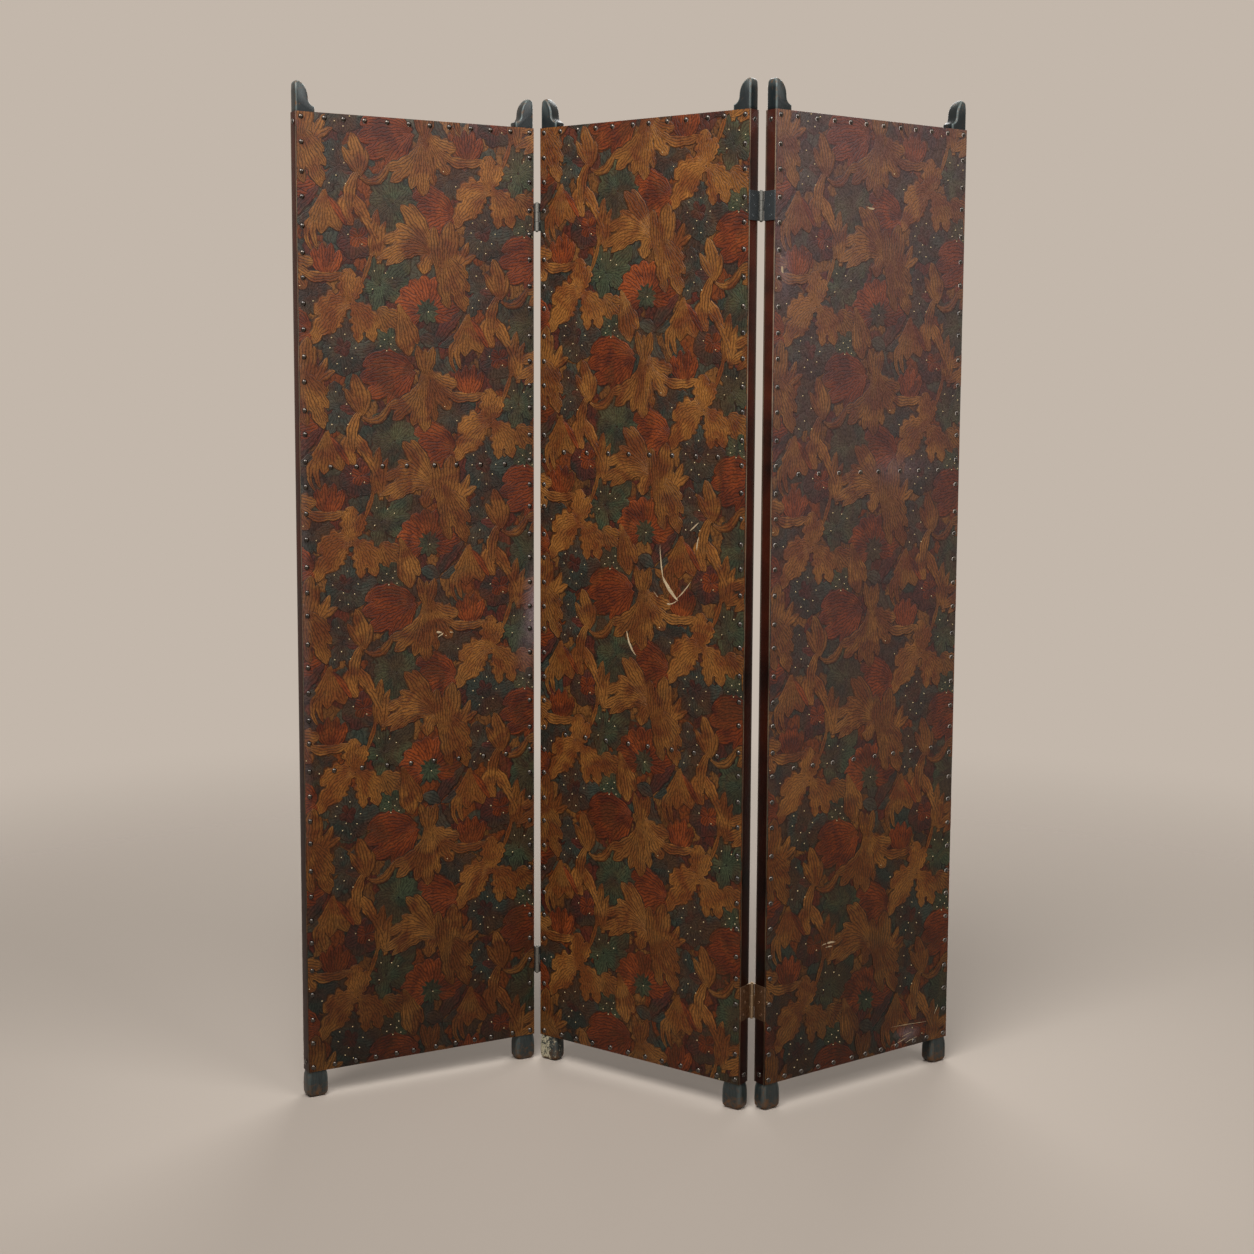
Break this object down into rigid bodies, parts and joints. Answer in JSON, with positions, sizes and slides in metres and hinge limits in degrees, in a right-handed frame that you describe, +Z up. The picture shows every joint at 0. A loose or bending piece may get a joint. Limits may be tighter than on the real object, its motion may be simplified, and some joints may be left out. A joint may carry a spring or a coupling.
{
  "type": "folding screen",
  "caption": "Free-standing folding screen: tall embossed leather panels nailed to wooden frames with ogee ears and rounded feet, folding on butt hinges.",
  "frame": {"origin": "on the floor, at the middle of the standing screen's bounding box", "axes": "+Z up; the embossed front faces -Y, with +X to the viewer's right; the screen stands in its zigzag"},
  "size_m": [1.2186, 0.3012, 1.83],
  "materials": {
    "frame_wood": "worn blue-black paint",
    "front_leather": "embossed, painted and varnished",
    "back_leather": "satin",
    "edge_leather": "satin, worn at the corners",
    "nails": "dark bronzed",
    "hinge_iron": "dull",
    "hinge_brass": "tarnished"
  },
  "bodies": {
    "left_panel": {"left_panel_left_stile": "frame_wood", "left_panel_right_stile": "frame_wood", "left_panel_top_rail": "frame_wood", "left_panel_upper_cross_rail": "frame_wood", "left_panel_lower_cross_rail": "frame_wood", "left_panel_bottom_rail": "frame_wood", "left_panel_front_leather": "front_leather", "left_panel_back_leather": "back_leather", "left_panel_edge_binding": "edge_leather", "left_panel_front_nails": "nails", "left_upper_hinge_left_leaf": "hinge_iron", "left_lower_hinge_left_leaf": "hinge_iron"},
    "middle_panel": {"middle_panel_left_stile": "frame_wood", "middle_panel_right_stile": "frame_wood", "middle_panel_top_rail": "frame_wood", "middle_panel_upper_cross_rail": "frame_wood", "middle_panel_lower_cross_rail": "frame_wood", "middle_panel_bottom_rail": "frame_wood", "middle_panel_front_leather": "front_leather", "middle_panel_back_leather": "back_leather", "middle_panel_edge_binding": "edge_leather", "middle_panel_front_nails": "nails", "left_upper_hinge_middle_leaf": "hinge_iron", "left_upper_hinge_pin": "hinge_iron", "left_lower_hinge_middle_leaf": "hinge_iron", "left_lower_hinge_pin": "hinge_iron", "right_upper_hinge_middle_leaf": "hinge_iron", "right_upper_hinge_pin": "hinge_iron", "right_lower_hinge_middle_leaf": "hinge_brass", "right_lower_hinge_pin": "hinge_brass"},
    "right_panel": {"right_panel_left_stile": "frame_wood", "right_panel_right_stile": "frame_wood", "right_panel_top_rail": "frame_wood", "right_panel_upper_cross_rail": "frame_wood", "right_panel_lower_cross_rail": "frame_wood", "right_panel_bottom_rail": "frame_wood", "right_panel_front_leather": "front_leather", "right_panel_back_leather": "back_leather", "right_panel_edge_binding": "edge_leather", "right_panel_front_nails": "nails", "right_upper_hinge_right_leaf": "hinge_iron", "right_lower_hinge_right_leaf": "hinge_brass"}
  },
  "joints": [
    {"name": "left_panel_fold", "type": "hinge", "parent": "middle_panel", "child": "left_panel", "pos_m": [-0.1851, 0.12139, 0.9], "axis": [0, 0, 1], "range_deg": [-64.2, 115.8]},
    {"name": "right_panel_fold", "type": "hinge", "parent": "middle_panel", "child": "right_panel", "pos_m": [0.21189, -0.12386, 0.9], "axis": [0, 0, 1], "range_deg": [-71.5, 108.5]}
  ]
}
